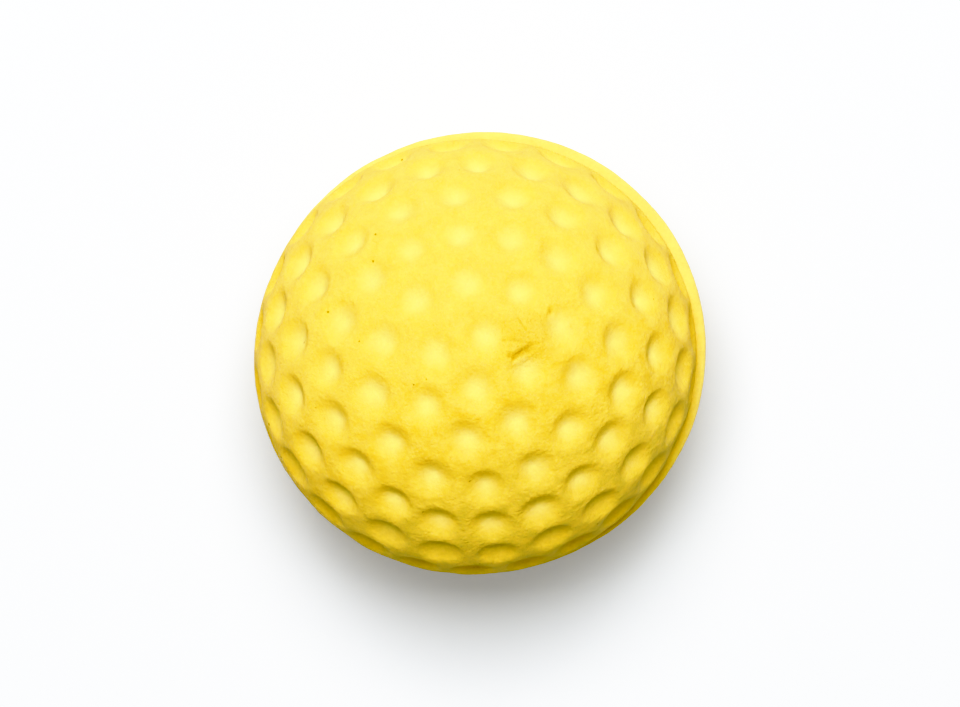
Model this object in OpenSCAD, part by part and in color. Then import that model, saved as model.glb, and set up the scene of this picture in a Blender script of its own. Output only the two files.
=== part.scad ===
// Practice golf ball, moulded from self-skinning polyurethane foam.
//
// Foam expands in a two-part mould. It cools into a dense skin against the cavity and
// stays soft and cellular inside. The skin takes the mould's dimples, in rings about each
// pole. A little foam creeps between the mould halves and sets as a thin raised flash
// round the equator. The upper mould half sits slightly off the lower one, so the flash
// stands out more on one side.
//
// Millimetres. The origin is the middle of the ball's extents, midway between the two
// skins. +Z runs out through the pole of the upper half, which is shifted along +X.

/* [Ball] */
// Diameter of the mould cavity, land to land
ball_d = 42; // [41:0.5:46]
// Thickness of the dense skin
skin_t = 1.6; // [1.3:0.1:3]

/* [Dimples] */
// Diameter of a dimple at its mouth
dimple_d = 3.8; // [2.8:0.1:3.8]
// Depth of a dimple below the lands
dimple_depth = 0.95; // [0.3:0.05:1.1]
// Angle from one ring of dimples to the next, measured from the pole
ring_step = 14.1; // [13.6:0.1:14.1]
// Turn of the lower half about the poles, which staggers its rows against the upper half
lower_turn = 7.5; // [0:0.5:15]

/* [Parting line] */
// Thickness of the flash, which is also the gap between the two skins
flash_t = 0.8; // [0.4:0.1:1.2]
// Distance that the flash stands out from the lower half's lands
flash_h = 0.35; // [0.2:0.05:1]
// Sideways shift of the upper mould half
mould_shift = 0.65; // [0:0.05:0.8]

/* [Hidden] */

// Dimples in each ring, from the pole to the last ring above the parting line
ring_counts = [1, 6, 12, 18, 20, 24, 24];
// Direction of each ring's first dimple, in degrees from +X
ring_starts = [0, 59.5, 14.5, 15.5, 4.5, 9, 2];

ball_r = ball_d / 2;
core_r = ball_r - skin_t;
half_gap = flash_t / 2;

// Middle of each half along X. The shifted upper half can stand out beyond the flash on
// one side, and the ball's extents stay centred on the origin.
lower_x = -max(mould_shift - flash_h, 0) / 2;
upper_x = lower_x + mould_shift;

// Each dimple is cut by a sphere that passes through the dimple's mouth and its floor
mouth_r = dimple_d / 2;
mouth_z = sqrt(pow(ball_r, 2) - pow(mouth_r, 2));
floor_z = ball_r - dimple_depth;
mouth_over_floor = mouth_z - floor_z;
dimple_tool_r = (pow(mouth_r, 2) + pow(mouth_over_floor, 2)) / (2 * mouth_over_floor);

skin_color = [0.98, 0.87, 0.30];
flash_color = [0.97, 0.84, 0.28];
foam_color = [0.99, 0.92, 0.45];

// Smoothness of the ball's spheres, and of the small spheres that cut the dimples
ball_fn = 144;
dimple_fn = 64;

// Half of a sphere, with its flat side on the XY plane
module dome(radius) {
    intersection() {
        sphere(r = radius, $fn = ball_fn);
        translate([-radius, -radius, 0])
            cube([2 * radius, 2 * radius, radius]);
    }
}

module dimple_cutter() {
    translate([0, 0, floor_z + dimple_tool_r])
        sphere(r = dimple_tool_r, $fn = dimple_fn);
}

// The rings of dimples about the +Z pole, turned by an angle
module dimple_cutters(turn) {
    for (ring = [0 : len(ring_counts) - 1]) {
        for (i = [0 : ring_counts[ring] - 1]) {
            rotate([0, ring * ring_step, turn + ring_starts[ring] + i * 360 / ring_counts[ring]])
                dimple_cutter();
        }
    }
}

// One half of the dimpled skin, standing on the XY plane
module half_skin(turn) {
    difference() {
        dome(ball_r);
        dome(core_r);
        dimple_cutters(turn);
    }
}

module foam_core() {
    color(foam_color)
        union() {
            translate([upper_x, 0, half_gap])
                dome(core_r);
            translate([lower_x, 0, -half_gap])
                cylinder(r = core_r, h = flash_t, $fn = ball_fn);
            translate([lower_x, 0, -half_gap])
                mirror([0, 0, 1])
                    dome(core_r);
        }
}

module upper_skin() {
    color(skin_color)
        translate([upper_x, 0, half_gap])
            half_skin(0);
}

module lower_skin() {
    color(skin_color)
        translate([lower_x, 0, -half_gap])
            mirror([0, 0, 1])
                half_skin(lower_turn);
}

// A flat ring with a full-round outer edge
module parting_flash() {
    rim_x = ball_r + flash_h - half_gap;
    color(flash_color)
        translate([lower_x, 0, 0])
            rotate_extrude($fn = ball_fn)
                union() {
                    translate([core_r, -half_gap])
                        square([rim_x - core_r, flash_t]);
                    translate([rim_x, 0])
                        circle(r = half_gap, $fn = 32);
                }
}

foam_core();
upper_skin();
lower_skin();
parting_flash();
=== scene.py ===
"""Looks for the moulded foam practice golf ball.

The dimpled skins, the parting flash and the foam core are built here in mesh code round the
CAD frame. Every size that the CAD knows is read from the frame. Lengths are in metres.
"""

import math
from itertools import product

import bpy
import numpy as np
from mathutils import Matrix, Vector


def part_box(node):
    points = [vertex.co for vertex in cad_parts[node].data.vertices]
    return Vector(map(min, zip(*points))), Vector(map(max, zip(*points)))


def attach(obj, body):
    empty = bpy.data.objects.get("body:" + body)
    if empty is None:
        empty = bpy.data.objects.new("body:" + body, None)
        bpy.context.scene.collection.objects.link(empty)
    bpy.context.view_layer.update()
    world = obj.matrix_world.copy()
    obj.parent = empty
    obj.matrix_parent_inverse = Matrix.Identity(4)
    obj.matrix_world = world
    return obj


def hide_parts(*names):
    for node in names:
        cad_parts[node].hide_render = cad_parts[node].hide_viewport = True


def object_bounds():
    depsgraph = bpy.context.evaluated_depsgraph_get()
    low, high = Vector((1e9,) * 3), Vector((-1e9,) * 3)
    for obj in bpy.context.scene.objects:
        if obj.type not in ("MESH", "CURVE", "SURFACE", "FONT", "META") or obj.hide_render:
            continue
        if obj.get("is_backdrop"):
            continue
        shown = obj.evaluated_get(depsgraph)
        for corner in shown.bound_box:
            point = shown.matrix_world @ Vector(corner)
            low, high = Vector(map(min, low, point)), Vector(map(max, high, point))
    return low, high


MM = 0.001

# The dimple pattern, as in the CAD: rings of dimples about each pole, and the angle in
# degrees of each ring's first dimple from +X.
RING_STEP = 14.1
RING_COUNTS = (1, 6, 12, 18, 20, 24, 24)
RING_STARTS = (0, 59.5, 14.5, 15.5, 4.5, 9, 2)
LOWER_TURN = 7.5

# A dimple's shape: a bowl that rises as a power of the distance from its middle, and a lip
# that is rounder where the softness is higher.
DIMPLE_RADIUS = 2.1 * MM
DIMPLE_DEPTH = 1.15 * MM
BOWL_POWER = 1.45
LIP_SOFTNESS = 0.22

# How much the dimples differ: in place across and along their ring, in radians, and in width
# and depth, as shares.
PLACE_SPREAD = (0.002, 0.004)
WIDTH_SPREAD = 0.03
DEPTH_SPREAD = 0.04

# Near the parting line, in degrees from the pole: the dimples are gone at the first angle and
# full at the second, and the skin's edge rolls in beyond EDGE_ROLL_FROM.
DIMPLE_FADE = (89.5, 85.5)
EDGE_ROLL_FROM = 88.6
EDGE_ROLL = 0.18 * MM

# The ball is slightly out of round across the poles: how much, and the way in degrees from +X.
OVAL = 0.16 * MM
OVAL_WAY = 9

# Torn spots on the upper half. Each runs between two directions, given in degrees from +Z
# and from +X, and has a half width and a depth.
TEARS = (
    ((12.8, 198.5), (17.6, 195.5), 0.34 * MM, 0.26 * MM),
    ((14.6, 220.5), (19.9, 195.2), 0.16 * MM, 0.08 * MM),
    ((21.3, 218.8), (19.9, 206.7), 0.16 * MM, 0.09 * MM),
    ((28.0, 203.8), (28.6, 204.6), 0.26 * MM, 0.25 * MM),
    ((12.0, 204.0), (12.6, 206.0), 0.2 * MM, 0.2 * MM),
    ((31.0, 190.8), (31.3, 191.2), 0.18 * MM, 0.2 * MM),
)

# Where the upper half is scuffed, and where it is worn: a direction and a reach. The worn
# patch loses a share of its dimples' depth.
SCUFF = (18, 203.5)
SCUFF_RADIUS = 3 * MM
WORN = (37, 270)
WORN_RADIUS = 8 * MM
WORN_SHARE = 0.35

# Painted shade on the side of the ball turned away from the light, as a direction: it sets in
# as a surface turns to that side. The cosines of the angle between them where the painted
# shade starts and where it is complete.
SHADED_SIDE = (82, 92)
SHADED_SIDE_REACH = (-0.1, 0.7)

# Light in and light out of the camera's response.
TONE_CURVE = (
    (0, 0), (0.1, 0.004), (0.13, 0.022), (0.16, 0.07), (0.2, 0.135), (0.26, 0.2), (0.4, 0.335),
    (0.6, 0.545), (0.8, 0.745), (0.95, 0.86), (1.1, 0.94), (1.3, 0.99), (1.6, 1.0),
)

# The table: its colour to the camera, its colour to the light that it throws back, and a
# faint glow that only the camera sees, which lightens the shadow.
TABLE_COLOUR = (0.88, 0.915, 0.96, 1)
TABLE_BOUNCE = (0.7, 0.75, 0.82, 1)
TABLE_GLOW = 0.13
TABLE_REACH = 1.5

# The view, in degrees: how far the upper pole leans away from the line to the camera, the way
# it leans in the picture from its right, and the ball's turn about the pole. Then the camera.
POLE_TILT = 8.6
POLE_LEAN = 271.7
BALL_TURN = 110.3
CAMERA_DISTANCE = 1.5
CAMERA_LENS = 590

# The softbox: its direction as shares of the camera's right, up and back, its distance, the
# length of its sides, and its power in watts. Then the strength of the light from all round.
KEY_SIDE = (-0.03, 0.22, 0.93)
KEY_DISTANCE = 0.7
KEY_WIDTH = 0.28
KEY_POWER = 5.7
ROOM_LIGHT = 0.3

# The meshes: rings of triangles from a pole to the parting line outside and inside a skin and
# on the core, and points round and across the flash.
OUTER_RINGS = 175
INNER_RINGS = 35
CORE_RINGS = 60
FLASH_AROUND = 900
FLASH_ACROSS = 14

# The core is a little too large for the skins, so that no gap shows between them.
CORE_BITE = 0.04 * MM

# The flash is as pale as a dimple is at this share of its depth.
FLASH_PALENESS = 0.8


# ---------------------------------------------------------------- numbers


def unit(theta, phi):
    """The direction at an angle theta from +Z, turned by phi from +X. Radians."""
    flat = np.sin(theta)
    return np.stack([flat * np.cos(phi), flat * np.sin(phi), np.cos(theta)], axis=-1)


def smoothstep(x, low, high):
    t = np.clip((x - low) / (high - low), 0, 1)
    return t * t * (3 - 2 * t)


def gradient_noise(points, seed):
    """Smooth noise, about -1 to 1, at each row of points, with features about 1 across."""
    rng = np.random.default_rng(seed)
    shuffle = rng.permutation(256)
    slopes = rng.normal(size=(256, 3))
    slopes /= np.linalg.norm(slopes, axis=1, keepdims=True)
    cell = np.floor(points).astype(int)
    inside = points - cell
    fade = inside**3 * (inside * (6 * inside - 15) + 10)
    total = np.zeros(len(points))
    for corner in product((0, 1), repeat=3):
        at = cell + corner
        row = shuffle[at[:, 0] & 255]
        row = shuffle[(row + at[:, 1]) & 255]
        row = shuffle[(row + at[:, 2]) & 255]
        weight = np.prod(np.where(corner, fade, 1 - fade), axis=1)
        total += weight * np.einsum("ij,ij->i", slopes[row], inside - corner)
    return total * 1.6


# ---------------------------------------------------------------- meshes


def dome_grid(rings):
    """Directions over the half sphere about +Z, in rings of 6, 12, 18 and so on, and the
    triangles between them, which face outwards."""
    thetas, phis = [np.zeros(1)], [np.zeros(1)]
    for ring in range(1, rings + 1):
        thetas.append(np.full(6 * ring, ring * math.pi / 2 / rings))
        phis.append(np.arange(6 * ring) * math.tau / (6 * ring))
    faces = []
    for ring in range(1, rings + 1):
        outer_start = 1 + 3 * ring * (ring - 1)
        inner_start = 1 + 3 * (ring - 1) * (ring - 2) if ring > 1 else 0
        inner_count = max(6 * (ring - 1), 1)
        side = np.repeat(np.arange(6), ring)
        step = np.tile(np.arange(ring), 6)
        outer = outer_start + side * ring + step
        outer_next = outer_start + (side * ring + step + 1) % (6 * ring)
        inner = inner_start + (side * (ring - 1) + step) % inner_count
        inner_next = inner_start + (side * (ring - 1) + step + 1) % inner_count
        faces.append(np.stack([inner, outer, outer_next], axis=1))
        between = step < ring - 1
        faces.append(np.stack([inner, outer_next, inner_next], axis=1)[between])
    return np.concatenate(thetas), np.concatenate(phis), np.concatenate(faces)


def rim_strip(outer_start, outer_count, inner_start, inner_count):
    """Triangles between two rims, where outer_count is a whole multiple of inner_count."""
    ratio = outer_count // inner_count
    faces = []
    for j in range(inner_count):
        here = inner_start + j
        following = inner_start + (j + 1) % inner_count
        for i in range(ratio):
            a = outer_start + j * ratio + i
            b = outer_start + (j * ratio + i + 1) % outer_count
            faces.append((a, here, b))
        faces.append((b, here, following))
    return np.array(faces)


def mesh_object(name, points, faces, attributes=None):
    """A smooth-shaded mesh object at the origin, with a number at each point per attribute."""
    mesh = bpy.data.meshes.new(name)
    mesh.from_pydata(points.tolist(), [], faces.tolist())
    mesh.polygons.foreach_set("use_smooth", np.ones(len(mesh.polygons), bool))
    for label, values in (attributes or {}).items():
        layer = mesh.attributes.new(label, "FLOAT", "POINT")
        layer.data.foreach_set("value", values.astype(np.float32))
    mesh.set_sharp_from_angle(angle=math.radians(60))
    mesh.update()
    thing = bpy.data.objects.new(name, mesh)
    bpy.context.scene.collection.objects.link(thing)
    return thing


# ---------------------------------------------------------------- the skin's surface


def dimple_depths(directions, radius, turn, seed):
    """How far each direction's point lies below the lands, and the same as a share of the
    full depth. Each dimple differs a little in place, size and depth."""
    rng = np.random.default_rng(seed)
    mouth = math.asin(DIMPLE_RADIUS / radius)
    depth = np.zeros(len(directions))
    for ring, (count, start) in enumerate(zip(RING_COUNTS, RING_STARTS)):
        for i in range(count):
            theta = math.radians(ring * RING_STEP) + rng.normal() * PLACE_SPREAD[0]
            phi = math.radians(start + turn + i * 360 / count) + rng.normal() * PLACE_SPREAD[1]
            middle = unit(theta, phi)
            width = mouth * (1 + WIDTH_SPREAD * rng.normal())
            deep = 1 + DEPTH_SPREAD * rng.normal()
            away = np.arccos(np.clip(directions @ middle, -1, 1)) / width
            near = away < 2
            bowl = 1 - away[near] ** BOWL_POWER
            soft = (bowl + np.sqrt(bowl**2 + LIP_SOFTNESS**2)) / 2
            soft -= LIP_SOFTNESS**2 / 12
            depth[near] = np.maximum(depth[near], deep * soft)
    return DIMPLE_DEPTH * depth, np.clip(depth, 0, 1)


def ovality(theta, phi):
    """How far the ball stands out of round at each direction."""
    return OVAL * np.sin(theta) ** 2 * np.cos(2 * (phi - math.radians(OVAL_WAY)))


def toward(degrees):
    """The direction at an angle from +Z and a turn from +X, both in degrees."""
    theta, phi = np.radians(degrees)
    return unit(theta, phi)


def nearness(directions, radius, centre, reach):
    """1 at a centre direction, falling smoothly to nothing beyond a reach."""
    away = np.linalg.norm(directions - toward(centre), axis=1) * radius / reach
    return np.exp(-(away**2))


def torn_depths(directions, radius, seed):
    """How deep the torn spots cut at each direction, ragged inside and raised at the edge,
    and how far each point lies in one, from 0 to 1."""
    at = directions * radius / MM
    ragged = np.clip(1 + 0.9 * gradient_noise(at / 0.45, seed), 0.15, 2)
    depth = np.zeros(len(directions))
    torn = np.zeros(len(directions))
    for start, end, half_width, deep in TEARS:
        a, b = toward(start), toward(end)
        along = np.clip((directions - a) @ (b - a) / ((b - a) @ (b - a)), 0, 1)
        nearest = a + along[:, None] * (b - a)
        away = np.linalg.norm(directions - nearest, axis=1) * radius / half_width
        cut = np.exp(-(away**2)) * ragged
        edge = np.exp(-2 * (away - 1.9) ** 2)
        depth += deep * (cut - 0.3 * edge)
        torn = np.maximum(torn, cut)
    return depth, np.clip(torn, 0, 1)


def skin_unevenness(directions, radius, seed):
    """The moulding's uneven surface: broad swells, lumps and fine wrinkles."""
    at = directions * radius / MM
    broad = 0.05 * MM * gradient_noise(at / 9, seed)
    lumps = 0.045 * MM * gradient_noise(at / 1.9, seed + 1)
    wrinkles = -0.012 * MM * np.abs(gradient_noise(at / 0.9, seed + 2))
    return broad + lumps + wrinkles


def half_skin(name, node, side, turn, core_radius, seed):
    """One dimpled half shell that stands for a CAD skin. side is 1 for the upper half and
    -1 for the lower half."""
    low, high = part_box(node)
    radius = (high.y - low.y) / 2
    shift = (high.x + low.x) / 2
    base = abs(low.z if side > 0 else high.z)

    theta, phi, faces = dome_grid(OUTER_RINGS)
    directions = unit(theta, phi)
    depth, dimple = dimple_depths(directions, radius, turn, seed)
    fade = smoothstep(theta, *np.radians(DIMPLE_FADE))
    depth *= fade
    dimple *= fade
    torn = scuffed = np.zeros(len(directions))
    if side > 0:
        depth *= 1 - WORN_SHARE * nearness(directions, radius, WORN, WORN_RADIUS)
        cut, torn = torn_depths(directions, radius, seed)
        scuffed = nearness(directions, radius, SCUFF, SCUFF_RADIUS)
        depth += cut
    edge_roll = EDGE_ROLL * smoothstep(theta, math.radians(EDGE_ROLL_FROM), math.pi / 2) ** 2
    reach = radius - depth + skin_unevenness(directions, radius, seed) - edge_roll
    reach += ovality(theta, phi)
    outer = directions * reach[:, None]

    inner_theta, inner_phi, inner_faces = dome_grid(INNER_RINGS)
    inner = unit(inner_theta, inner_phi) * core_radius
    count = len(outer)
    outer_rim = 6 * OUTER_RINGS
    inner_rim = 6 * INNER_RINGS
    strip = rim_strip(
        count - outer_rim, outer_rim, count + len(inner) - inner_rim, inner_rim
    )
    points = np.concatenate([outer, inner])
    faces = np.concatenate([faces, inner_faces[:, ::-1] + count, strip])
    points[:, 2] += base
    if side < 0:
        points[:, 2] *= -1
        faces = faces[:, ::-1]
    points[:, 0] += shift
    # Painted shade: how far each point has turned away from the light, kept for the skin's
    # colour.
    facing = (directions * (1, 1, side)) @ toward(SHADED_SIDE)
    painted_shade = smoothstep(facing, *SHADED_SIDE_REACH)
    outside = {"dimple": dimple, "torn": torn, "scuffed": scuffed, "painted_shade": painted_shade}
    inside = np.zeros(len(inner))
    marks = {label: np.concatenate([values, inside]) for label, values in outside.items()}
    skin = mesh_object(name, points, faces, marks)
    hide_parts(node)
    return skin


def circle_row(circle, reach, height):
    """Points over a circle of directions, at a distance from the middle and at a height."""
    flat = circle[:, :2] * np.reshape(reach, (-1, 1))
    return np.column_stack([flat, np.full(len(circle), height)])


def flash_ring(name, node, core_radius, seed):
    """The flash: a thin ring with a soft, slightly ragged outer edge."""
    low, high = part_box(node)
    outer_radius = (high.x - low.x) / 2
    middle_x = (high.x + low.x) / 2
    half = (high.z - low.z) / 2
    phi = np.arange(FLASH_AROUND) * math.tau / FLASH_AROUND
    circle = unit(np.full(FLASH_AROUND, math.pi / 2), phi)
    at = circle * outer_radius / MM
    edge = outer_radius + ovality(math.pi / 2, phi) + 0.08 * MM * gradient_noise(at / 6, seed)
    edge += 0.03 * MM * gradient_noise(at / 1.2, seed + 1)
    rows = [circle_row(circle, core_radius, half)]
    for turn in np.linspace(math.pi / 2, -math.pi / 2, FLASH_ACROSS):
        reach = edge - half + half * math.cos(turn)
        rows.append(circle_row(circle, reach, half * math.sin(turn)))
    rows.append(circle_row(circle, core_radius, -half))
    i = np.arange(FLASH_AROUND)
    following = (i + 1) % FLASH_AROUND
    faces = []
    for row in range(len(rows)):
        here = row * FLASH_AROUND
        beyond = (row + 1) % len(rows) * FLASH_AROUND
        faces.append(np.stack([here + i, beyond + i, beyond + following, here + following], 1))
    points = np.concatenate(rows)
    points[:, 0] += middle_x
    paleness = np.full(len(points), FLASH_PALENESS)
    # Painted shade on the flash where it turns away from the light.
    facing = points / np.linalg.norm(points, axis=1, keepdims=True) @ toward(SHADED_SIDE)
    marks = {"dimple": paleness, "painted_shade": smoothstep(facing, *SHADED_SIDE_REACH)}
    ring = mesh_object(name, points, np.concatenate(faces), marks)
    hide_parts(node)
    return ring


def foam_core(name, node, core_radius, seed):
    """The foam inside the skins: a dome for each mould half, joined round the middle."""
    theta, phi, dome_faces = dome_grid(CORE_RINGS)
    directions = unit(theta, phi)
    at = directions * core_radius / MM
    rim = 6 * CORE_RINGS
    count = len(directions)
    points = []
    for side, skin in ((1, "upper_skin"), (-1, "lower_skin")):
        low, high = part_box(skin)
        reach = core_radius + CORE_BITE + 0.04 * MM * gradient_noise(at / 1.5, seed + side)
        dome = directions * reach[:, None]
        dome[:, 0] += (low.x + high.x) / 2
        dome[:, 2] += abs(low.z if side > 0 else high.z)
        dome[:, 2] *= side
        points.append(dome)
    here = count - rim + np.arange(rim)
    following = count - rim + (np.arange(rim) + 1) % rim
    wall = [
        np.stack([here, here + count, following + count], 1),
        np.stack([here, following + count, following], 1),
    ]
    faces = np.concatenate([dome_faces, dome_faces[:, ::-1] + count, *wall])
    core = mesh_object(name, np.concatenate(points), faces)
    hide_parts(node)
    return core


# ---------------------------------------------------------------- materials


class Nodes:
    """A short way to add and join a material's nodes."""

    def __init__(self, name):
        self.material = bpy.data.materials.new(name)
        self.material.use_nodes = True
        self.tree = self.material.node_tree
        self.tree.nodes.clear()

    def add(self, kind, inputs=None, **settings):
        node = self.tree.nodes.new("ShaderNode" + kind)
        for name, value in settings.items():
            setattr(node, name, value)
        for name, value in (inputs or {}).items():
            if isinstance(value, bpy.types.NodeSocket):
                self.tree.links.new(value, node.inputs[name])
            else:
                node.inputs[name].default_value = value
        return node

    def math(self, operation, a, b=0.0, c=0.0):
        return self.add("Math", {0: a, 1: b, 2: c}, operation=operation).outputs[0]

    def mix(self, share, a, b):
        node = self.add("Mix", {0: share, 6: a, 7: b}, data_type="RGBA")
        return node.outputs[2]

    def ramp(self, value, low, high, to_low=0.0, to_high=1.0):
        """value taken smoothly from low..high to to_low..to_high."""
        node = self.add(
            "MapRange",
            {0: value, 1: low, 2: high, 3: to_low, 4: to_high},
            interpolation_type="SMOOTHSTEP",
        )
        return node.outputs[0]

    def noise(self, at, scale, detail=3.0, roughness=0.5):
        node = self.add(
            "TexNoise",
            {"Vector": at, "Scale": scale, "Detail": detail, "Roughness": roughness},
        )
        return node.outputs["Fac"]

    def millimetres(self):
        """The object's own coordinates in millimetres."""
        place = self.add("TexCoord").outputs["Object"]
        scaled = self.add("VectorMath", {0: place, "Scale": 1 / MM}, operation="SCALE")
        return scaled.outputs[0]


def foam_skin_material(name, colours):
    """Matt moulded foam skin: warm and creased on the lands, paler and smoother in the
    dimples, with a few pin-holes, and with painted shade that dulls and darkens the lands
    turned away from the light. Torn spots are darker and rougher."""
    n = Nodes(name)
    at = n.millimetres()
    dimple = n.add("Attribute", attribute_name="dimple").outputs["Fac"]
    torn = n.add("Attribute", attribute_name="torn").outputs["Fac"]
    scuffed = n.add("Attribute", attribute_name="scuffed").outputs["Fac"]
    painted_shade = n.add("Attribute", attribute_name="painted_shade").outputs["Fac"]
    land = n.math("SUBTRACT", 1.0, dimple)
    mottle = n.noise(at, 0.45, 4.0, 0.6)
    grain = n.noise(at, 3.5, 4.0, 0.6)
    blotch = n.noise(at, 0.8, 4.0, 0.6)

    cleaner = n.math("MULTIPLY_ADD", n.math("SUBTRACT", mottle, 0.5), 0.5, dimple)
    colour = n.mix(n.ramp(cleaner, 0.2, 1.2), colours["land"], colours["floor"])
    # The warm mottle is partly the foam's own uneven tone and partly painted shade: it is
    # strongest on lands half turned away from the light.
    half_painted_shade = n.math("MULTIPLY", painted_shade, n.math("SUBTRACT", 1.0, painted_shade))
    warm = n.math("MULTIPLY", n.ramp(blotch, 0.35, 0.75, 0.0, 0.9), land)
    warm = n.math("MULTIPLY", warm, n.math("MULTIPLY_ADD", half_painted_shade, 1.8, 0.45))
    colour = n.mix(warm, colour, colours["warm"])
    # Painted shade: lands turned away from the light are darkened towards a dull olive, in
    # blotches.
    painted_shade_tint = n.math("MULTIPLY", n.ramp(blotch, 0.3, 0.7, 0.05, 0.6), land)
    painted_shade_tint = n.math("MULTIPLY", painted_shade_tint, n.math("POWER", painted_shade, 2.0))
    colour = n.mix(painted_shade_tint, colour, colours["painted_shade_tint"])
    shade = n.ramp(grain, 0.25, 0.75, 0.95, 1.03)
    shade = n.math("MULTIPLY", shade, n.ramp(mottle, 0.25, 0.75, 0.965, 1.02))
    colour = n.add("VectorMath", {0: colour, "Scale": shade}, operation="SCALE").outputs[0]

    holes = n.add("TexVoronoi", {"Vector": at, "Scale": 0.36})
    hole = n.ramp(holes.outputs["Distance"], 0.02, 0.05, 1.0, 0.0)
    specks = n.math("MULTIPLY", n.ramp(n.noise(at, 4.0, 3.0, 0.6), 0.55, 0.7), scuffed)
    dark = n.math("MAXIMUM", hole, n.math("MULTIPLY", specks, 0.5))
    dark = n.math("MAXIMUM", dark, n.ramp(torn, 0.3, 1.0, 0.0, 0.3))
    colour = n.mix(n.math("MULTIPLY", dark, 0.75), colour, colours["pore"])

    height = n.math("MULTIPLY", n.noise(at, 4.5, 5.0, 0.62), 0.06)
    creases = n.math("ABSOLUTE", n.math("SUBTRACT", n.noise(at, 1.2, 3.0, 0.55), 0.5))
    creases = n.math("MULTIPLY", creases, n.math("MULTIPLY_ADD", land, 0.2, 0.06))
    height = n.math("ADD", height, creases)
    rough = n.math("MULTIPLY", n.math("MAXIMUM", scuffed, torn), n.noise(at, 2.6, 5.0, 0.7))
    height = n.math("MULTIPLY_ADD", rough, 0.3, height)
    height = n.math("MULTIPLY_ADD", hole, -0.1, height)
    bump = n.add("Bump", {"Distance": MM, "Strength": 1.0, "Height": height})

    surface = n.add(
        "BsdfPrincipled",
        {
            "Base Color": colour,
            "Roughness": n.ramp(mottle, 0.25, 0.75, 0.58, 0.72),
            "Diffuse Roughness": 0.5,
            "Specular IOR Level": 0.15,
            "Subsurface Weight": 0.1,
            "Subsurface Radius": (1.0, 0.65, 0.15),
            "Subsurface Scale": 0.8 * MM,
            "Normal": bump.outputs[0],
        },
    )
    n.add("OutputMaterial", {"Surface": surface.outputs[0]})
    return n.material


def foam_core_material(name, wall, cell):
    """Open-celled foam: round cells of two sizes in a matt wall."""
    n = Nodes(name)
    at = n.millimetres()
    coarse = n.add("TexVoronoi", {"Vector": at, "Scale": 1.6}).outputs["Distance"]
    fine = n.add("TexVoronoi", {"Vector": at, "Scale": 3.7}).outputs["Distance"]
    large = n.ramp(coarse, 0.2, 0.42, 1.0, 0.0)
    small = n.ramp(fine, 0.2, 0.4, 0.7, 0.0)
    hollow = n.math("MAXIMUM", large, small)
    colour = n.mix(n.math("MULTIPLY", hollow, 0.7), wall, cell)
    height = n.math("MULTIPLY", hollow, -0.15)
    bump = n.add("Bump", {"Distance": MM, "Strength": 1.0, "Height": height})
    surface = n.add(
        "BsdfPrincipled",
        {"Base Color": colour, "Roughness": 0.9, "Normal": bump.outputs[0]},
    )
    n.add("OutputMaterial", {"Surface": surface.outputs[0]})
    return n.material


def floor_material():
    """A white table. It throws back less light on the ball than it shows to the camera."""
    n = Nodes("white_table")
    seen = n.add("LightPath").outputs["Is Camera Ray"]
    surface = n.add(
        "BsdfPrincipled",
        {
            "Base Color": n.mix(seen, TABLE_BOUNCE, TABLE_COLOUR),
            "Roughness": 0.9,
            "Emission Color": TABLE_COLOUR,
            "Emission Strength": n.math("MULTIPLY", seen, TABLE_GLOW),
        },
    )
    n.add("OutputMaterial", {"Surface": surface.outputs[0]})
    return n.material


# ---------------------------------------------------------------- camera and light


def viewing_axes():
    """The camera's right, up and back directions in the row frame. The upper pole leans
    away from the line to the camera, and the row's X axis is turned about the pole."""
    tilt = math.radians(POLE_TILT)
    lean = math.radians(POLE_LEAN)
    turn = math.radians(BALL_TURN)
    pole = Vector(
        (math.sin(tilt) * math.cos(lean), math.sin(tilt) * math.sin(lean), math.cos(tilt))
    )
    up = Vector((0, 1, 0))
    across = (up - pole * up.dot(pole)).normalized()
    x_axis = math.cos(turn) * across + math.sin(turn) * pole.cross(across)
    y_axis = pole.cross(x_axis)
    return [Vector((x_axis[i], y_axis[i], pole[i])) for i in range(3)]


def aim(thing, place, target, up):
    """Puts a camera or lamp at place, looking at target."""
    back = (place - target).normalized()
    right = up.cross(back).normalized()
    turned = Matrix((right, back.cross(right), back)).transposed().to_4x4()
    thing.matrix_world = Matrix.Translation(place) @ turned


def add_camera(target, up, back):
    data = bpy.data.cameras.new("camera")
    data.sensor_width = 36
    data.lens = CAMERA_LENS
    data.clip_start = 0.01
    camera = bpy.data.objects.new("camera", data)
    bpy.context.scene.collection.objects.link(camera)
    aim(camera, target + back * CAMERA_DISTANCE, target, up)
    bpy.context.scene.camera = camera


def add_softbox(target, right, up, back):
    data = bpy.data.lights.new("key", "AREA")
    data.shape = "SQUARE"
    data.size = KEY_WIDTH
    data.energy = KEY_POWER
    lamp = bpy.data.objects.new("key", data)
    bpy.context.scene.collection.objects.link(lamp)
    direction = KEY_SIDE[0] * right + KEY_SIDE[1] * up + KEY_SIDE[2] * back
    aim(lamp, target + direction.normalized() * KEY_DISTANCE, target, up)


def add_room_light():
    """An even white light from all round."""
    world = bpy.data.worlds.new("studio")
    bpy.context.scene.world = world
    world.use_nodes = True
    glow = world.node_tree.nodes["Background"]
    glow.inputs["Color"].default_value = (1, 1, 1, 1)
    glow.inputs["Strength"].default_value = ROOM_LIGHT


def set_tone():
    """A vivid camera response: deep shadows, rich colour and a soft roll-off to white."""
    settings = bpy.context.scene.view_settings
    settings.view_transform = "Standard"
    settings.use_curve_mapping = True
    mapping = settings.curve_mapping
    mapping.clip_max_x = TONE_CURVE[-1][0]
    curve = mapping.curves[3]
    curve.points[0].location = TONE_CURVE[0]
    curve.points[1].location = TONE_CURVE[-1]
    for point in TONE_CURVE[1:-1]:
        curve.points.new(*point)
    mapping.update()


# ---------------------------------------------------------------- the ball

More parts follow.
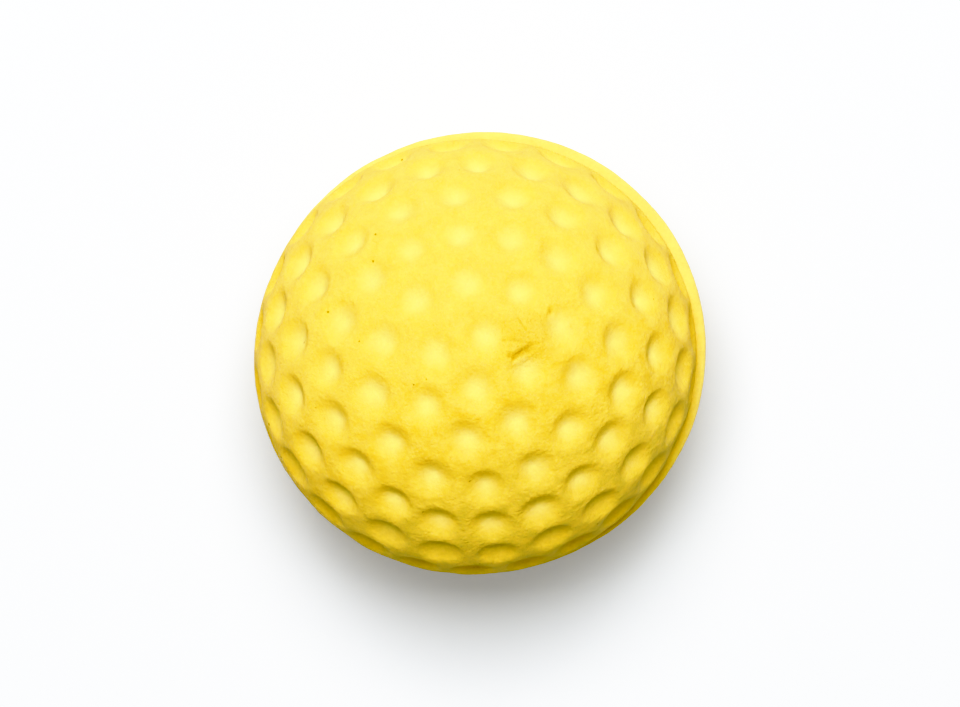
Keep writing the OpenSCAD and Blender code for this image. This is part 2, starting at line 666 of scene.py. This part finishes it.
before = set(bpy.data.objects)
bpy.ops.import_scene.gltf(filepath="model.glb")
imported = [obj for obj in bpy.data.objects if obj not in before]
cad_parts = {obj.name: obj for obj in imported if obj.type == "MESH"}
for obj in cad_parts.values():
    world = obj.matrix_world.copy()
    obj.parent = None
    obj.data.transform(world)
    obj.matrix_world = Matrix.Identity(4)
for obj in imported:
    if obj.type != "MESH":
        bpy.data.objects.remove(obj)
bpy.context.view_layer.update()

core_low, core_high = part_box("foam_core")
core_radius = (core_high.y - core_low.y) / 2

SKIN_COLOURS = {
    "land": (0.96, 0.67, 0.135, 1),
    "warm": (0.93, 0.58, 0.09, 1),
    "floor": (0.96, 0.78, 0.22, 1),
    "pore": (0.5, 0.33, 0.02, 1),
    # painted shade: the dull olive for the lands turned away from the light
    "painted_shade_tint": (0.66, 0.54, 0.12, 1),
}
skin_finish = foam_skin_material("skin_foam", SKIN_COLOURS)
core_finish = foam_core_material("core_foam", (0.96, 0.72, 0.14, 1), (0.6, 0.38, 0.03, 1))

upper_skin = half_skin("upper_skin_shell", "upper_skin", 1, 0, core_radius, seed=11)
lower_skin = half_skin("lower_skin_shell", "lower_skin", -1, LOWER_TURN, core_radius, seed=29)
flash = flash_ring("parting_flash_ring", "parting_flash", core_radius, seed=47)
core = foam_core("foam_core_body", "foam_core", core_radius, seed=5)

pieces = (
    (upper_skin, "skin", skin_finish),
    (lower_skin, "skin", skin_finish),
    (flash, "flash", skin_finish),
    (core, "foam", core_finish),
)
for piece, slot, finish in pieces:
    piece.data.materials.append(finish)
    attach(piece, "root")

# ---------------------------------------------------------------- the stage

low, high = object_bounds()
middle = (low + high) / 2
corners = np.array([(-1, -1, 0), (1, -1, 0), (1, 1, 0), (-1, 1, 0)], float) * TABLE_REACH
corners[:, 2] = low.z
table = mesh_object("table", corners, np.array([(0, 1, 2, 3)]))
table.data.materials.append(floor_material())
table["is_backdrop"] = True

right, up, back = viewing_axes()
add_camera(middle, up, back)
add_softbox(middle, right, up, back)
add_room_light()
set_tone()

low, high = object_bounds()
